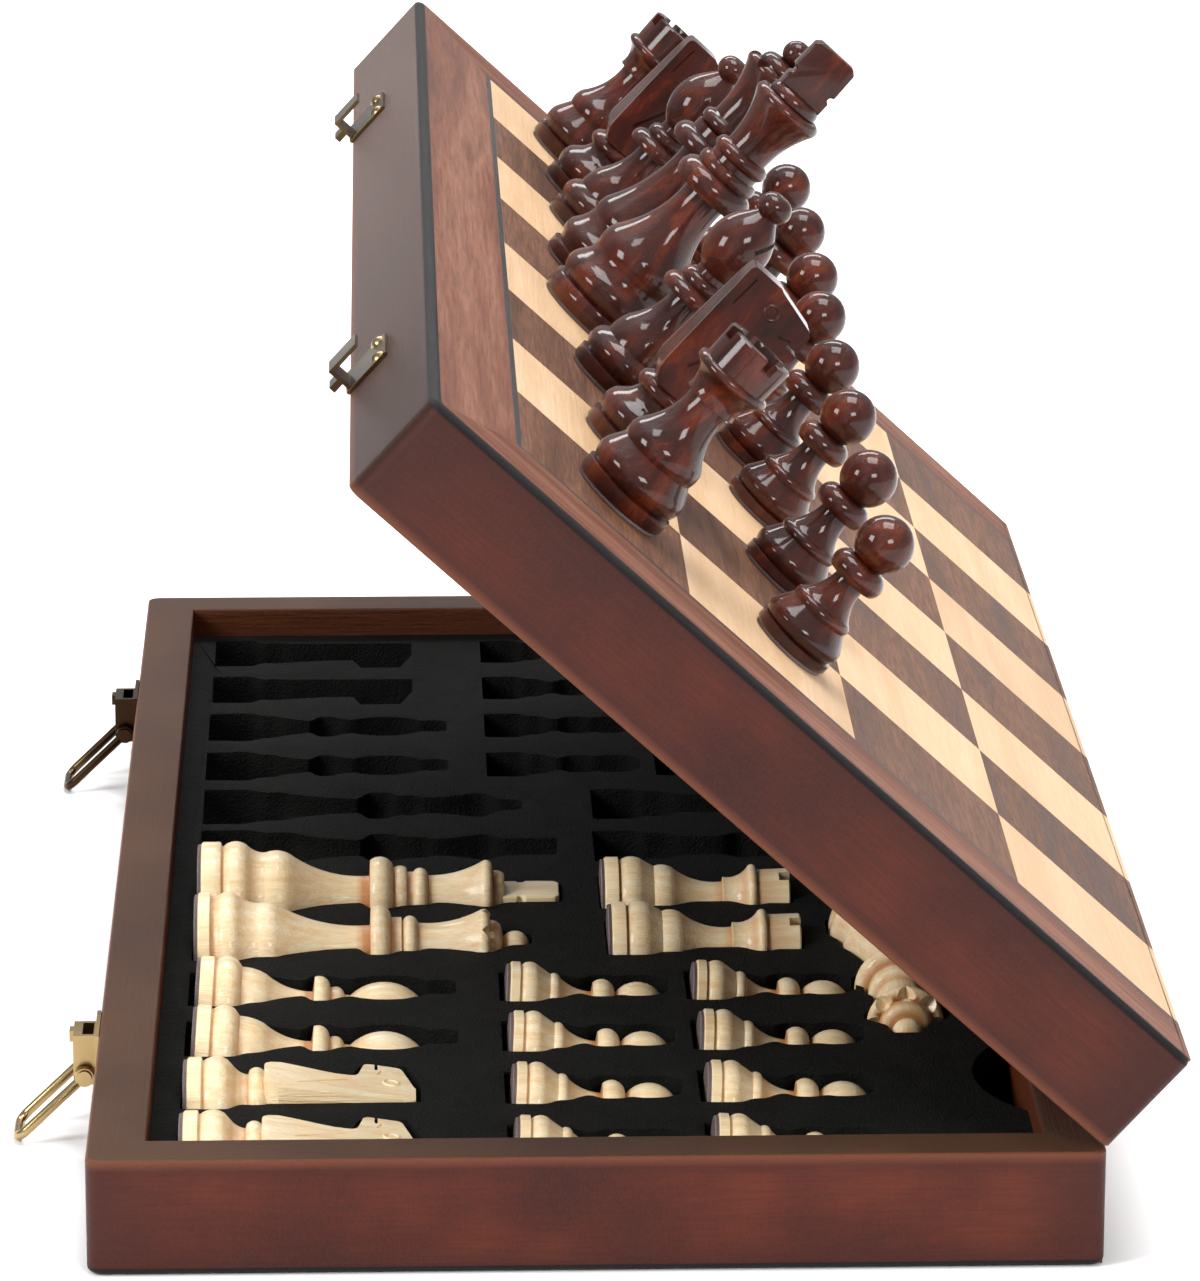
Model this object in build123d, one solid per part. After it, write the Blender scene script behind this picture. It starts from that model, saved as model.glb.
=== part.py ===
"""Folding chess set: two hinged box halves whose outer faces make the board, a foam
insert in the lower half, two hook latches, and two armies of magnetic pieces.

Frame, in mm: the origin is the centre of the underside of the lower half, +X points to
the hinge side, +Y points along the box to its far end, and +Z points up.
"""

import os
from math import cos, radians, sin

from build123d import *

# ---------------------------------------------------------------- sizes of the box
WIDTH = 190.5          # one half, from latch side to hinge side
DEPTH = 381.0          # along the hinge
HALF_H = 23.0          # height of one half
WALL = 11.0            # thickness of the rails
RELIEF = 0.15          # taken off each half where the two halves meet
VENEER = 0.6           # squares, border and inlay line
STEEL = 0.4            # sheet that the magnets hold to
PLY = 1.2              # panel under the steel sheet
ARRIS = 1.2            # rounding of the outer face's edges
CORNER = 2.5           # rounding of the upright corners
SQUARE = 42.0          # one square of the board
COLUMNS, ROWS = 4, 8   # squares on one half
INLAY = 1.4            # dark line around the squares
LID_ANGLE = 42.4       # how far the lid is open at rest

HX = WIDTH / 2                      # half the width, where the hinge axis stands
HY = DEPTH / 2
X_LATCH = -HX                       # outer face of the latch side
X_HINGE = HX - RELIEF               # outer face of the hinge side
X_SQUARES = X_HINGE - COLUMNS * SQUARE
Y_SQUARES = ROWS * SQUARE / 2
PANEL_TOP = VENEER + STEEL + PLY
FOAM_TOP = 16.3
LINING = 1.0

# ---------------------------------------------------------------- hinges and latches
HINGE_YS = (-120.0, 120.0)
KNUCKLE_R, PIN_R, PIN_FIT = 2.0, 1.0, 0.05
LEAF_L, LEAF_W, LEAF_T = 32.0, 8.5, 0.85
KNUCKLE_CUTS = (-16.0, -6.0, 6.0, 16.0)
LATCH_YS = {"near": -114.0, "far": 114.0}
PIVOT_X, PIVOT_Z = X_LATCH - 3.0, 13.9
LOOP_L, LOOP_ANGLE = 18.6, 44.0     # pivot to loop end, and its droop below level
ROD, BEND_R, ARM_Y = 0.95, 2.6, 5.7    # loop wire radius, bend radius, arm offset along Y
BOX_HALF = 4.4                      # half width of the latch box, inside the loop's arms


# ---------------------------------------------------------------- helpers
def rod(radius, start, end):
    """A cylinder from one point to another."""
    a, b = Vector(*start), Vector(*end)
    return Plane(origin=a, z_dir=b - a) * Cylinder(
        radius, (b - a).length, align=(Align.CENTER, Align.CENTER, Align.MIN)
    )


def block(x, y, z):
    """A box between two limits on each axis."""
    size = [hi - lo for lo, hi in (x, y, z)]
    centre = [(lo + hi) / 2 for lo, hi in (x, y, z)]
    return Pos(*centre) * Box(*size)


def turned(profile):
    """A turned solid. Each entry is (station, radius), or (station, radius, station,
    radius) for an arc through the first point to the second."""
    edges, here = [], (0.0, profile[0][0])
    for entry in profile:
        end = (entry[-1], entry[-2])
        if len(entry) == 4:
            edges.append(ThreePointArc(here, (entry[1], entry[0]), end))
        elif end != here:
            edges.append(Line(here, end))
        here = end
    edges.append(Line(here, (0, here[1])))
    edges.append(Line((0, here[1]), (0, profile[0][0])))
    face = make_face(Plane.XZ * Wire(edges))
    return revolve(face, Axis.Z)


def lid_up(shape):
    """A lid solid, turned from the shut position to the rest position."""
    return Pos(HX, 0, HALF_H) * Rot(0, LID_ANGLE, 0) * Pos(-HX, 0, -HALF_H) * shape


def over(shape):
    """The lower half's solid, mirrored into the shut lid."""
    return mirror(shape, Plane(origin=(0, 0, HALF_H), z_dir=(0, 0, 1)))


# ---------------------------------------------------------------- the two halves
def envelope():
    """The rounded outer shape of the lower half."""
    body = block((X_LATCH, X_HINGE), (-HY, HY), (0, HALF_H - RELIEF))
    body = fillet(body.edges().filter_by(Axis.Z), CORNER)
    return fillet(body.faces().sort_by(Axis.Z)[0].edges(), ARRIS)


def knuckle_room():
    """Space that the hinge knuckles and leaves need in both rims."""
    cuts = []
    for y in HINGE_YS:
        half = LEAF_L / 2 + 0.6
        cuts.append(rod(KNUCKLE_R + 0.3, (HX, y - half, HALF_H), (HX, y + half, HALF_H)))
        cuts.append(block((HX - LEAF_W - 0.05, HX), (y - half, y + half),
                          (HALF_H - RELIEF - LEAF_T, HALF_H)))
    return cuts


def rails(outer):
    """Long and short rails with mitred corners."""
    z = (VENEER, HALF_H)
    xs, ys = (X_LATCH, X_LATCH + WALL, X_HINGE - WALL, X_HINGE), (-HY, WALL - HY, HY - WALL, HY)

    def prism(*points):
        face = make_face(Polyline(*points, close=True))
        return outer & (Pos(0, 0, z[0]) * extrude(face, z[1] - z[0]))

    latch = prism((xs[0], ys[0]), (xs[1], ys[1]), (xs[1], ys[2]), (xs[0], ys[3]))
    hinge = prism((xs[3], ys[0]), (xs[2], ys[1]), (xs[2], ys[2]), (xs[3], ys[3]))
    near = prism((xs[0], ys[0]), (xs[3], ys[0]), (xs[2], ys[1]), (xs[1], ys[1]))
    far = prism((xs[0], ys[3]), (xs[3], ys[3]), (xs[2], ys[2]), (xs[1], ys[2]))
    return Compound([latch, hinge - knuckle_room()]), Compound([near, far])


def layer(z0, z1, gap=0.0):
    """A sheet that fills the space between the rails."""
    return block((X_LATCH + WALL + gap, X_HINGE - WALL - gap),
                 (WALL + gap - HY, HY - WALL - gap), (z0, z1))


def squares(outer, parity):
    """The light or dark squares of one half's face."""
    found = []
    for column in range(COLUMNS):
        for row in range(ROWS):
            if (column + row) % 2 == parity:
                x, y = X_SQUARES + column * SQUARE, -Y_SQUARES + row * SQUARE
                found.append(outer & block((x, x + SQUARE), (y, y + SQUARE), (0, VENEER)))
    return Compound(found)


def border(outer):
    """Veneer strips around three sides, with a dark inlay line inside them."""
    z = (0, VENEER)
    x0, y0 = X_SQUARES - INLAY, Y_SQUARES + INLAY
    strips = [
        block((X_LATCH, x0), (-HY, HY), z),
        block((x0, X_HINGE), (-HY, -y0), z),
        block((x0, X_HINGE), (y0, HY), z),
        block((x0, X_SQUARES), (-y0, y0), z),
        block((X_SQUARES, X_HINGE), (-y0, -Y_SQUARES), z),
        block((X_SQUARES, X_HINGE), (Y_SQUARES, y0), z),
    ]
    return Compound([outer & strip for strip in strips])


# ---------------------------------------------------------------- pieces
# Station above the felt and radius; four numbers make an arc.
KING = [(0.8, 12.0), (4.9, 12.3), (5.2, 11.2), (5.5, 11.4), (8.0, 12.3, 10.5, 11.4),
        (12.0, 10.3, 14.2, 10.0), (16.8, 10.3, 19.2, 9.7), (26.5, 6.0, 36.1, 4.9),
        (36.2, 8.2), (38.6, 8.8, 41.0, 7.3), (41.4, 6.7), (43.9, 6.7), (44.0, 5.7),
        (45.4, 5.7), (46.8, 6.4, 48.2, 5.6), (48.5, 4.9), (55.5, 5.9, 60.0, 7.8),
        (61.3, 7.9, 61.6, 5.5), (64.4, 5.2)]
QUEEN = [(0.8, 11.5), (3.4, 11.7), (3.7, 10.6), (4.9, 11.0), (7.0, 11.6, 8.9, 11.0),
         (11.5, 9.6, 13.2, 9.3), (15.2, 9.4, 17.1, 8.9), (25.5, 5.5, 36.1, 4.6),
         (36.4, 8.0), (38.4, 8.6, 40.4, 6.9), (40.7, 6.3), (42.6, 6.3), (42.9, 5.4),
         (44.4, 6.4, 45.9, 5.4), (46.2, 5.0), (54.5, 5.8, 58.8, 7.5), (60.0, 7.6),
         (60.6, 5.2), (63.3, 4.4), (63.6, 2.0), (66.4, 2.8, 69.0, 0.6)]
BISHOP = [(0.8, 9.6), (3.6, 9.8), (3.9, 9.0), (4.4, 9.3), (6.4, 9.9, 8.3, 9.3),
          (9.2, 8.0), (11.8, 7.6, 14.2, 6.8), (18.5, 4.5, 23.7, 3.8), (24.0, 6.8),
          (25.4, 6.9, 27.2, 5.2), (27.5, 4.8), (29.6, 4.6, 30.2, 3.6), (31.4, 3.5),
          (38.0, 6.5, 45.0, 4.2), (47.2, 2.4), (49.8, 3.5, 52.0, 0.8)]
ROOK = [(0.8, 9.8), (3.8, 10.0), (4.1, 9.1), (4.4, 9.4), (6.6, 10.0, 9.0, 9.3),
        (11.3, 8.0), (13.0, 8.2, 15.0, 7.8), (20.0, 5.1, 25.7, 4.6), (25.8, 5.6),
        (29.5, 6.4, 31.6, 7.9), (32.7, 7.9), (33.0, 7.1), (40.0, 7.3)]
PAWN = [(0.8, 8.2), (2.8, 8.4), (3.1, 7.7), (3.4, 8.0), (4.9, 8.4, 6.6, 7.8),
        (9.0, 6.3), (10.0, 6.4, 11.0, 5.6), (14.0, 3.8, 17.5, 3.2), (17.8, 5.2),
        (20.0, 5.5, 22.3, 3.4), (27.2, 5.6, 32.4, 1.8), (32.8, 0.6)]
KNIGHT_FOOT = [(0.8, 9.6), (3.6, 9.8), (3.9, 9.0), (4.4, 9.3), (6.4, 9.8, 8.6, 9.2),
               (10.0, 7.6), (11.4, 6.6, 12.6, 6.3), (12.8, 7.2), (14.2, 7.6, 15.6, 7.0),
               (16.2, 6.2)]
# Side outline of the knight's head: forward of the axis, and height.
KNIGHT_SIDE = [(-6.4, 15.0), (-7.2, 19.0), (-6.4, 45.0), (1.2, 45.0), (11.4, 42.0),
               (11.8, 35.0), (4.4, 33.4), (5.2, 26.0), (7.2, 19.0), (6.4, 15.0)]
KNIGHT_FRONT = [(-6.9, 14.0), (-6.5, 20.0), (-3.0, 46.0), (3.0, 46.0), (6.5, 20.0),
                (6.9, 14.0)]
BASE_R = {"king": 12.3, "queen": 11.7, "bishop": 9.8, "knight": 9.8, "rook": 10.0,
          "pawn": 8.4}


def foot(body, kind):
    """Felt pad under the body and a magnet let into it."""
    felt = Cylinder(BASE_R[kind] - 0.5, 0.8, align=(Align.CENTER, Align.CENTER, Align.MIN))
    magnet = Pos(0, 0, 0.8) * Cylinder(
        5.0, 4.0, align=(Align.CENTER, Align.CENTER, Align.MIN)
    )
    return Compound([body - magnet, felt, magnet])


def king():
    """Cross finial: a small slab with a notch under each arm."""
    slab = block((-5.3, 5.3), (-2.0, 2.0), (64.4, 76.0))
    notches = [block((s * 5.8 - 1.0, s * 5.8 + 1.0), (-3, 3), (64.3, 67.2)) for s in (-1, 1)]
    top = slab.faces().sort_by(Axis.Z)[-1].edges().filter_by(Axis.Y)
    return turned(KING) + (fillet(top, 1.2) - notches)


def queen():
    """Coronet cut by eight V notches."""
    notch = extrude(make_face(Polyline((-1.9, 61.0), (1.9, 61.0), (0, 57.4), close=True)), 12)
    notch = Rot(90, 0, 0) * notch
    cut = notch - Cylinder(5.6, 140)
    return turned(QUEEN) - [Rot(0, 0, 45 * i) * cut for i in range(8)]


def bishop():
    """Mitre with one slanting cut."""
    cut = Pos(4.2, 0, 44.4) * Rot(0, -52, 0) * Box(7.0, 20.0, 1.1)
    return turned(BISHOP) - cut


def rook():
    """Hollow battlement with four gaps."""
    body = turned(ROOK) - Pos(0, 0, 38.4) * Cylinder(5.2, 3.4)
    gaps = [Rot(0, 0, 90 * i) * Pos(6.4, 0, 39.0) * Box(4.4, 2.6, 2.6) for i in range(4)]
    return body - gaps


def pawn():
    return turned(PAWN)


def knight():
    """Flat horse's head, thinner to the top, on a turned foot. It faces local +X."""
    side = extrude(make_face(Plane.XZ * Polyline(*KNIGHT_SIDE, close=True)), 9, both=True)
    front = extrude(make_face(Plane.YZ * Polyline(*KNIGHT_FRONT, close=True)), 20, both=True)
    return turned(KNIGHT_FOOT) + (side & front)


SHAPES = {"king": king, "queen": queen, "bishop": bishop, "knight": knight, "rook": rook,
          "pawn": pawn}

# Standing pieces: distance from the hinge axis and distance from the near end.
STANDING = {
    "rook_1": (143.5, 45.0), "knight_1": (140.2, 91.7), "bishop_1": (141.6, 138.5),
    "king": (144.9, 184.5), "queen": (143.8, 224.5), "bishop_2": (143.6, 269.5),
    "knight_2": (143.4, 304.5), "rook_2": (146.0, 339.3),
    "pawn_1": (99.4, 49.0), "pawn_2": (98.6, 99.5), "pawn_3": (99.9, 144.5),
    "pawn_4": (100.6, 185.0), "pawn_5": (100.4, 229.0), "pawn_6": (99.0, 270.0),
    "pawn_7": (98.8, 316.0), "pawn_8": (99.5, 360.0),
}
# Stored pieces: row, counted from the near end, and start, from the latch side's face.
STORED = {
    "knight_1": (0, 16.8), "knight_2": (1, 16.8), "bishop_1": (2, 16.8),
    "bishop_2": (3, 16.8), "queen": (4, 16.8), "king": (5, 16.8), "rook_1": (4, 102.0),
    "rook_2": (5, 101.5), "pawn_1": (0, 79.5), "pawn_2": (1, 79.5), "pawn_3": (2, 79.5),
    "pawn_4": (3, 79.5), "pawn_5": (0, 117.2), "pawn_6": (1, 117.2), "pawn_7": (2, 117.2),
    "pawn_8": (3, 117.2),
}
ROW_FIRST, ROW_PITCH = 25.9, 29.75
AXIS_Z = {"king": 15.3, "queen": 14.7, "bishop": 13.2, "knight": 12.8, "rook": 13.7,
          "pawn": 12.9}
DROOP = {"bishop": 4.0, "pawn": 4.0}   # degrees that a stored piece's head dips
DROOP_SHIFT = 0.6                      # keeps a dipping piece's base off its pocket's end
SPARE_X, SPARE_FOOT = 160.0, 155.0   # second queen, lying along Y
# Pocket steps for each kind: end station, half width, and depth below the axis.
POCKET = {
    "king": [(20.5, 13.0, 12.6), (76.8, 9.6, 9.6)],
    "queen": [(18.5, 12.4, 12.0), (69.8, 9.4, 9.4)],
    "bishop": [(14.8, 10.5, 10.6), (53.2, 7.7, 9.9)],
    "knight": [(17.0, 10.5, 10.1), (45.9, 12.8, 7.9)],
    "rook": [(15.8, 10.7, 10.3), (40.8, 8.7, 8.7)],
    "pawn": [(11.6, 9.1, 9.1), (34.0, 6.4, 8.8)],
}


def kind_of(name):
    return name.split("_")[0]


def row_y(row, mirrored):
    """Centre of a storage row, in the near half or mirrored in the far half."""
    y = ROW_FIRST + row * ROW_PITCH - HY
    return -y if mirrored else y


def stored_at(name):
    """Where a light piece lies: its axis along +X, its base to the latch side."""
    row, start = STORED[name]
    kind = kind_of(name)
    droop = radians(DROOP.get(kind, 0))
    start += DROOP_SHIFT if droop else 0
    lying = Plane(origin=(X_LATCH + start, row_y(row, False), AXIS_Z[kind]),
                  x_dir=(0, 1, 0), z_dir=(cos(droop), 0, -sin(droop)))
    return lying.location


def spare_at(mirrored):
    """Where a second queen lies: along Y by the hinge wall, its head to the near end,
    or mirrored in the far half."""
    turn = -1 if mirrored else 1
    plane = Plane(origin=(X_LATCH + SPARE_X, turn * (SPARE_FOOT - HY), AXIS_Z["queen"]),
                  x_dir=(1, 0, 0), z_dir=(0, -turn, 0))
    return plane.location


def standing_at(name):
    """Where a dark piece stands on the shut lid, facing the hinge side."""
    u, v = STANDING[name]
    return Location((HX - u, v - HY, 2 * HALF_H))


# ---------------------------------------------------------------- foam
def pocket(kind, x, y, along_y=0):
    """Stepped pocket, run along +X, or along Y towards the given sign."""
    start, cuts = -0.5, []
    for end, half, deep in POCKET[kind]:
        z = (AXIS_Z[kind] - deep, FOAM_TOP + 1)
        if along_y:
            ys = sorted((y + along_y * start, y + along_y * end))
            cuts.append(block((x - half, x + half), ys, z))
        else:
            cuts.append(block((x + start, x + end), (y - half, y + half), z))
        start = end
    return cuts


def foam():
    """One foam sheet with a pocket for every piece and a finger notch in each half."""
    cuts = []
    for mirrored in (False, True):
        for name, (row, start) in STORED.items():
            cuts += pocket(kind_of(name), X_LATCH + start, row_y(row, mirrored))
        turn = -1 if mirrored else 1
        cuts += pocket("queen", X_LATCH + SPARE_X, turn * (SPARE_FOOT - HY), -turn)
        cuts.append(rod(29.0, (X_LATCH + 199.5, turn * (61 - HY), PANEL_TOP + 4),
                        (X_LATCH + 199.5, turn * (61 - HY), FOAM_TOP + 1)))
    return layer(PANEL_TOP, FOAM_TOP, 0.1) - cuts


# ---------------------------------------------------------------- hinges
def hinge_leaf(y, low):
    """A leaf let into a rim, with its knuckles on the axis."""
    a, b, c, d = [y + cut for cut in KNUCKLE_CUTS]
    gap = 0.15
    spans = [(a, b - gap), (c + gap, d)] if low else [(b + gap, c - gap)]
    top = HALF_H - RELIEF
    leaf = block((HX - LEAF_W, HX - KNUCKLE_R - 0.4), (a, d), (top - LEAF_T, top))
    for y0, y1 in spans:
        leaf += block((HX - KNUCKLE_R - 0.4, HX - 0.4), (y0, y1), (top - LEAF_T, top))
        leaf += rod(KNUCKLE_R, (HX, y0, HALF_H), (HX, y1, HALF_H))
    for y0, y1 in [(a, b - gap), (b + gap, c - gap), (c + gap, d)]:
        if (y0, y1) not in spans:
            room = rod(KNUCKLE_R + 0.3, (HX, y0 - gap, HALF_H), (HX, y1 + gap, HALF_H))
            leaf -= room
    leaf -= rod(PIN_R + PIN_FIT, (HX, a - 1, HALF_H), (HX, d + 1, HALF_H))
    return leaf - [rod(1.2, (x, yy, 0), (x, yy, 40)) for x, yy in hinge_screw_spots(y)]


def hinge_screw_spots(y):
    return [(HX - 5.9, y - 11.0), (HX - 5.9, y), (HX - 5.9, y + 11.0)]


def hinge_screws():
    """Countersunk screws seen as flush heads with a shank in the rim."""
    found = []
    for y in HINGE_YS:
        for x, yy in hinge_screw_spots(y):
            top = HALF_H - RELIEF
            head = rod(1.2, (x, yy, top - 0.8), (x, yy, top - 0.05))
            found.append(head + rod(0.8, (x, yy, top - 7), (x, yy, top - 0.8)))
    return found


# ---------------------------------------------------------------- latches
def latch_body(y):
    """Plate on the lower half's latch side with a raised box: a slot in its top, and a pin."""
    x = X_LATCH
    low, high = PIVOT_Z - 2.2, HALF_H - 1.2
    plate = block((x - 0.8, x), (y - 7.6, y + 7.6), (HALF_H - 15.9, HALF_H - RELIEF))
    box = block((x - 5.2, x - 0.8), (y - BOX_HALF, y + BOX_HALF), (low, high))
    box -= block((x - 4.4, x), (y - BOX_HALF + 0.8, y + BOX_HALF - 0.8), (low - 1, high - 0.8))
    box -= block((x - 3.4, x - 1.2), (y - 3.4, y + 3.4), (low, high + 1))
    tab = block((x - 6.0, x - 5.2), (y - 1.5, y + 1.5), (HALF_H - 3.4, high))
    pin = rod(0.9, (PIVOT_X, y - 7.0, PIVOT_Z), (PIVOT_X, y + 7.0, PIVOT_Z))
    for side in (-1, 1):
        pin += rod(1.5, (PIVOT_X, y + side * 6.7, PIVOT_Z), (PIVOT_X, y + side * 7.3, PIVOT_Z))
    body = plate + box + tab - screw_holes(y, HALF_H - 13.4)
    return Compound([body - pin, pin])


def latch_loop(y):
    """U-shaped wire loop outside the box, hanging out and down to the table."""
    a = radians(LOOP_ANGLE)
    along = Vector(-cos(a), 0, -sin(a))
    pivot = Vector(PIVOT_X, y, PIVOT_Z)
    reach = pivot + along * (LOOP_L - BEND_R)
    across = Vector(0, 1, 0)
    loop = rod(ROD, reach + along * BEND_R - across * (ARM_Y - BEND_R),
               reach + along * BEND_R + across * (ARM_Y - BEND_R))
    for side in (-1, 1):
        arm = across * side * ARM_Y
        loop += rod(ROD, pivot + along * 1.5 + arm, reach + arm)
        loop += rod(1.9, pivot + arm - across * 0.9, pivot + arm + across * 0.9)
        corner = Plane(origin=reach + across * side * (ARM_Y - BEND_R), x_dir=along,
                       z_dir=Vector(sin(a), 0, -cos(a)))
        quarter = Pos(3, side * 3, 0) * Box(6, 6, 4)
        loop += corner * (Torus(BEND_R, ROD) & quarter)
    return loop - rod(0.95, pivot - across * 9, pivot + across * 9)


def latch_keeper(y):
    """Plate on the lid's latch side with a hook that the loop closes over, and a tongue that
    drops into the box's slot, drawn for the shut lid."""
    x, z = X_LATCH, HALF_H + RELIEF
    plate = block((x - 0.8, x), (y - 7.6, y + 7.6), (z, z + 11.0))
    hook = block((x - 5.4, x - 0.8), (y - 4.2, y + 4.2), (z + 0.1, z + 0.9))
    hook += block((x - 5.4, x - 4.6), (y - 4.2, y + 4.2), (z + 0.1, z + 7.6))
    tongue = block((x - 3.0, x - 1.6), (y - 3.0, y + 3.0), (z - 2.4, z + 0.5))
    return plate + hook + tongue - screw_holes(y, z + 8.8)


def screw_holes(y, z):
    return [rod(1.1, (X_LATCH - 3, y + s * 6.0, z), (X_LATCH + 3, y + s * 6.0, z))
            for s in (-1, 1)]


def latch_screws(z):
    """Dome-headed screws, two to each plate."""
    found = []
    for y in LATCH_YS.values():
        for s in (-1, 1):
            yy = y + s * 6.0
            dome = Pos(X_LATCH + 0.17, yy, z) * Sphere(1.87)
            head = dome & block((X_LATCH - 5, X_LATCH - 0.8), (yy - 3, yy + 3), (z - 3, z + 3))
            found.append(head + rod(1.1, (X_LATCH - 0.9, yy, z), (X_LATCH + 7, yy, z)))
    return found


# ---------------------------------------------------------------- nodes
def half_nodes(side):
    """The nodes of one half, as the lower half, before the lid's are turned over."""
    outer = envelope()
    long_rails, short_rails = rails(outer)
    if side == "tray":
        light, bores = 0, hinge_screws() + latch_screws(HALF_H - 13.4)
    else:
        turned_over = [over(screw) for screw in latch_screws(HALF_H + RELIEF + 8.8)]
        light, bores = 1, hinge_screws() + turned_over
    long_rails = Compound([rail - bores for rail in long_rails.solids()])
    return {
        f"{side}_long_rails": long_rails,
        f"{side}_short_rails": short_rails,
        f"{side}_border": border(outer),
        f"{side}_light_squares": squares(outer, light),
        f"{side}_dark_squares": squares(outer, 1 - light),
        f"{side}_steel_sheet": layer(VENEER, VENEER + STEEL),
        f"{side}_panel": layer(VENEER + STEEL, PANEL_TOP),
        f"{side}_screws": Compound(bores),
    }


def box_nodes():
    """Every node of the two halves and their fittings, at rest."""
    nodes = half_nodes("tray")
    nodes["foam_insert"] = foam()
    nodes["tray_hinge_leaves"] = Compound([hinge_leaf(y, True) for y in HINGE_YS])
    nodes["hinge_pins"] = Compound([
        rod(PIN_R, (HX, y - 16.4, HALF_H), (HX, y + 16.4, HALF_H)) for y in HINGE_YS
    ])
    nodes["latch_bodies"] = Compound([s for y in LATCH_YS.values() for s in latch_body(y)])
    for end, y in LATCH_YS.items():
        nodes[f"latch_loop_{end}"] = latch_loop(y)
    for name, shape in half_nodes("lid").items():
        nodes[name] = lid_up(over(shape))
    nodes["lid_lining"] = lid_up(over(layer(PANEL_TOP, PANEL_TOP + LINING, 0.1)))
    leaves = Compound([hinge_leaf(y, False) for y in HINGE_YS])
    nodes["lid_hinge_leaves"] = lid_up(over(leaves))
    nodes["latch_keepers"] = lid_up(Compound([latch_keeper(y) for y in LATCH_YS.values()]))
    return nodes


def piece_nodes():
    """Both armies: light pieces stored in the foam, dark pieces standing on the lid."""
    bodies = {kind: foot(make(), kind) for kind, make in SHAPES.items()}
    nodes = {}
    for name in STORED:
        nodes[f"light_{name}"] = stored_at(name) * bodies[kind_of(name)]
    nodes["light_queen_spare"] = spare_at(False) * bodies["queen"]
    for name in STANDING:
        nodes[f"dark_{name}"] = lid_up(standing_at(name) * bodies[kind_of(name)])
    nodes["dark_queen_spare"] = spare_at(True) * bodies["queen"]
    return nodes


def main():
    os.makedirs("parts", exist_ok=True)
    for name, shape in {**box_nodes(), **piece_nodes()}.items():
        export_step(shape, f"parts/{name}.step")


main()
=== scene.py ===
"""Looks for the folding chess set: turned pieces, veneered board, foam insert, latches, studio.

All positions are in metres in the row frame: origin at the centre of the tray's underside, +X to
the hinge side, +Y away from the viewer, +Z up. Lid pieces are built as if it were shut.
"""

import math

import bmesh
import bpy
import numpy as np
from mathutils import Matrix, Vector


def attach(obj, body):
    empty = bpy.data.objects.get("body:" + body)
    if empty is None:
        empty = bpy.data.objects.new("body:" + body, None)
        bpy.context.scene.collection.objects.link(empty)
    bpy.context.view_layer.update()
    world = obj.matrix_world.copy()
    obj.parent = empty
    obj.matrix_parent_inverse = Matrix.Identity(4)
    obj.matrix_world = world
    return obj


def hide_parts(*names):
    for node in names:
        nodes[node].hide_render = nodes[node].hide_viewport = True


MM = 0.001
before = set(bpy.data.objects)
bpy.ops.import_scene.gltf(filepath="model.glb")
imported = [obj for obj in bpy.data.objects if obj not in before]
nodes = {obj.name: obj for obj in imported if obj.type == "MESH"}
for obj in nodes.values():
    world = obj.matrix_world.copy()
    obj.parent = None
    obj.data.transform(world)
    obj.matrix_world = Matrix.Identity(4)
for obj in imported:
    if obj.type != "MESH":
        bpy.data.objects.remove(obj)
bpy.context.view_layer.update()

# ------------------------------------------------------------------ sizes, in millimetres
HALF_X, HALF_Y, HALF_H = 95.25, 190.5, 23.0
WALL, RELIEF, VENEER = 11.0, 0.15, 0.6
X_HINGE = HALF_X - RELIEF
SQUARE, COLUMNS, ROWS, INLAY = 42.0, 4, 8, 1.4
X_SQUARES = X_HINGE - COLUMNS * SQUARE
Y_SQUARES = ROWS * SQUARE / 2
LID_ANGLE = 42.4
FOAM_LOW, FOAM_TOP = 2.2, 16.3
HINGE_YS = (-120.0, 120.0)
ARRIS = 1.6

TRAY = Matrix.Diagonal((MM, MM, MM, 1))
HINGE = Matrix.Translation((HALF_X, 0, HALF_H))
LID = (TRAY @ HINGE @ Matrix.Rotation(math.radians(LID_ANGLE), 4, "Y") @ HINGE.inverted()
       @ Matrix.Translation((0, 0, 2 * HALF_H)) @ Matrix.Diagonal((1, 1, -1, 1)))


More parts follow.
